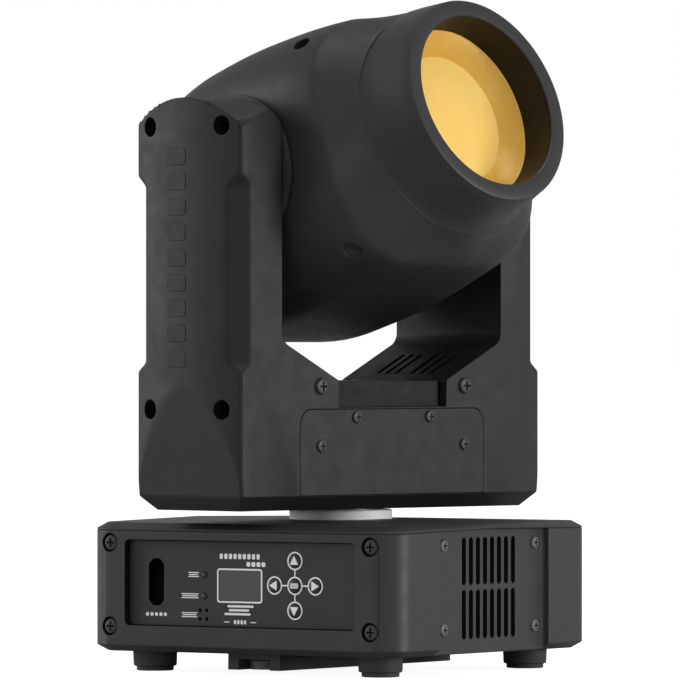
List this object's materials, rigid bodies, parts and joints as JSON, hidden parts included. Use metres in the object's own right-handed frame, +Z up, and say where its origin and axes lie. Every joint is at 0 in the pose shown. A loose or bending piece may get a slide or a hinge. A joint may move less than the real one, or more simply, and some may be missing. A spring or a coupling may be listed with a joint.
{
  "type": "moving head light",
  "caption": "Stage light whose barrel head tilts in a forked yoke that pans on a square base with a menu panel, push buttons, side vents and rubber feet.",
  "frame": {"origin": "on the floor under the pan axis, in the middle of the four feet", "axes": "+Z up along the pan axis; the menu panel faces -Y; the louvred side beside it that the head points over at rest faces +X"},
  "size_m": [0.2122, 0.2234, 0.329],
  "materials": {
    "case_plastic": "fine grained charcoal plastic",
    "case_metal": "charcoal powder coat",
    "cover_plastic": "coarser grained charcoal plastic",
    "panel_black": "satin black",
    "window": "smoked clear",
    "light_pipe": "milky grey",
    "board": "solder mask green",
    "button_plastic": "satin",
    "rubber_black": "matt",
    "steel_black": "black coated steel",
    "zinc_steel": "zinc plated",
    "bright_aluminium": "turned, satin",
    "black_aluminium": "black anodised",
    "motor_case": "black with bare end caps",
    "belt_rubber": "toothed belt",
    "socket_plastic": "gloss black",
    "ring_plastic": "fine grained charcoal plastic",
    "lens_coated": "amber anti-reflection coating",
    "filter_glass": "clear",
    "bearing_steel": "ground"
  },
  "bodies": {
    "base": {"front_cap": "case_plastic", "rear_cap": "case_plastic", "base_chassis": "case_metal", "top_plate": "case_plastic", "side_panel_left": "case_metal", "side_panel_right": "case_metal", "display_panel": "panel_black", "display_window": "window", "status_lights": "light_pipe", "control_board": "board", "feet": "rubber_black", "bracket_bar": "case_metal", "power_supply": "zinc_steel", "main_board": "board", "base_fan": "socket_plastic", "power_inlet": "socket_plastic", "dmx_input": "zinc_steel", "dmx_output": "zinc_steel", "base_screws": "steel_black", "pan_collar": "bright_aluminium", "pan_motor": "motor_case", "pan_belt": "belt_rubber"},
    "yoke": {"yoke_body": "case_plastic", "arm_cover_left": "case_plastic", "arm_cover_right": "case_plastic", "yoke_cover_front": "case_metal", "yoke_cover_rear": "case_metal", "pan_shaft": "bearing_steel", "pan_pulley": "bright_aluminium", "tilt_motor": "motor_case", "tilt_belt": "belt_rubber", "tilt_bearings": "bearing_steel", "yoke_screws": "steel_black"},
    "head": {"head_shell": "case_plastic", "head_cover": "cover_plastic", "nose_ring": "ring_plastic", "front_lens": "lens_coated", "tilt_hub_left": "black_aluminium", "tilt_hub_right": "black_aluminium", "led_module": "bright_aluminium", "heatsink": "black_aluminium", "head_fan": "socket_plastic", "optics_frame": "zinc_steel", "head_screws": "steel_black"},
    "base_fan_rotor": {"base_fan_rotor": "socket_plastic"},
    "pan_motor_pulley": {"pan_motor_pulley": "bright_aluminium"},
    "tilt_motor_pulley": {"tilt_motor_pulley": "bright_aluminium"},
    "head_fan_rotor": {"head_fan_rotor": "socket_plastic"},
    "colour_wheel": {"colour_wheel": "bright_aluminium"},
    "gobo_wheel": {"gobo_wheel": "bright_aluminium"},
    "prism_disc": {"prism_disc": "filter_glass"},
    "focus_carriage": {"focus_carriage": "black_aluminium"},
    "bracket_lock_front": {"bracket_lock_front": "steel_black"},
    "bracket_lock_rear": {"bracket_lock_rear": "steel_black"},
    "button_enter": {"button_enter": "button_plastic"},
    "button_up": {"button_up": "button_plastic"},
    "button_down": {"button_down": "button_plastic"},
    "button_left": {"button_left": "button_plastic"},
    "button_right": {"button_right": "button_plastic"}
  },
  "joints": [
    {"name": "pan", "type": "hinge", "parent": "base", "child": "yoke", "pos_m": [0, 0, 0], "axis": [0, 0, 1], "range_deg": [-350.5, 189.5]},
    {"name": "tilt", "type": "hinge", "parent": "yoke", "child": "head", "pos_m": [0, 0, 0.2445], "axis": [-0.1644, -0.9864, 0], "range_deg": [-57, 198]},
    {"name": "pan_motor_spin", "type": "hinge", "parent": "base", "child": "pan_motor_pulley", "pos_m": [-0.0545, 0, 0.05], "axis": [0, 0, 1], "range_deg": [-1402, 758]},
    {"name": "tilt_motor_spin", "type": "hinge", "parent": "yoke", "child": "tilt_motor_pulley", "pos_m": [0.01455, 0.0873, 0.112], "axis": [-0.1644, -0.9864, 0], "range_deg": [-171, 594]},
    {"name": "base_fan_spin", "type": "hinge", "parent": "base", "child": "base_fan_rotor", "pos_m": [0.0753, 0, 0.038], "axis": [1, 0, 0], "continuous": true},
    {"name": "head_fan_spin", "type": "hinge", "parent": "head", "child": "head_fan_rotor", "pos_m": [-0.07383, 0.0123, 0.2177], "axis": [0.9287, -0.1547, 0.3371], "continuous": true},
    {"name": "colour_wheel_spin", "type": "hinge", "parent": "head", "child": "colour_wheel", "pos_m": [-0.01336, 0.00223, 0.21203], "axis": [0.9287, -0.1547, 0.3371], "continuous": true},
    {"name": "gobo_wheel_spin", "type": "hinge", "parent": "head", "child": "gobo_wheel", "pos_m": [-0.02137, 0.00356, 0.26436], "axis": [0.9287, -0.1547, 0.3371], "continuous": true},
    {"name": "prism_spin", "type": "hinge", "parent": "head", "child": "prism_disc", "pos_m": [0.01486, -0.00248, 0.24989], "axis": [0.9287, -0.1547, 0.3371], "continuous": true},
    {"name": "focus_slide", "type": "slide", "parent": "head", "child": "focus_carriage", "axis": [0.9287, -0.1547, 0.3371], "range_m": [-0.01, 0.018]},
    {"name": "press_enter", "type": "slide", "parent": "base", "child": "button_enter", "axis": [0, 1, 0], "range_m": [0, 0.0008], "stiffness_N_per_m": 600, "springref_m": -0.0005},
    {"name": "press_up", "type": "slide", "parent": "base", "child": "button_up", "axis": [0, 1, 0], "range_m": [0, 0.0008], "stiffness_N_per_m": 600, "springref_m": -0.0005},
    {"name": "press_down", "type": "slide", "parent": "base", "child": "button_down", "axis": [0, 1, 0], "range_m": [0, 0.0008], "stiffness_N_per_m": 600, "springref_m": -0.0005},
    {"name": "press_left", "type": "slide", "parent": "base", "child": "button_left", "axis": [0, 1, 0], "range_m": [0, 0.0008], "stiffness_N_per_m": 600, "springref_m": -0.0005},
    {"name": "press_right", "type": "slide", "parent": "base", "child": "button_right", "axis": [0, 1, 0], "range_m": [0, 0.0008], "stiffness_N_per_m": 600, "springref_m": -0.0005},
    {"name": "lock_turn_front", "type": "hinge", "parent": "base", "child": "bracket_lock_front", "pos_m": [0, -0.0625, 0.004], "axis": [0, 0, 1], "range_deg": [0, 90]},
    {"name": "lock_turn_rear", "type": "hinge", "parent": "base", "child": "bracket_lock_rear", "pos_m": [0, 0.0625, 0.004], "axis": [0, 0, 1], "range_deg": [0, 90]}
  ],
  "couplings": [
    {"joint": "pan_motor_spin", "follows": "pan", "ratio": 4},
    {"joint": "tilt_motor_spin", "follows": "tilt", "ratio": 3}
  ]
}
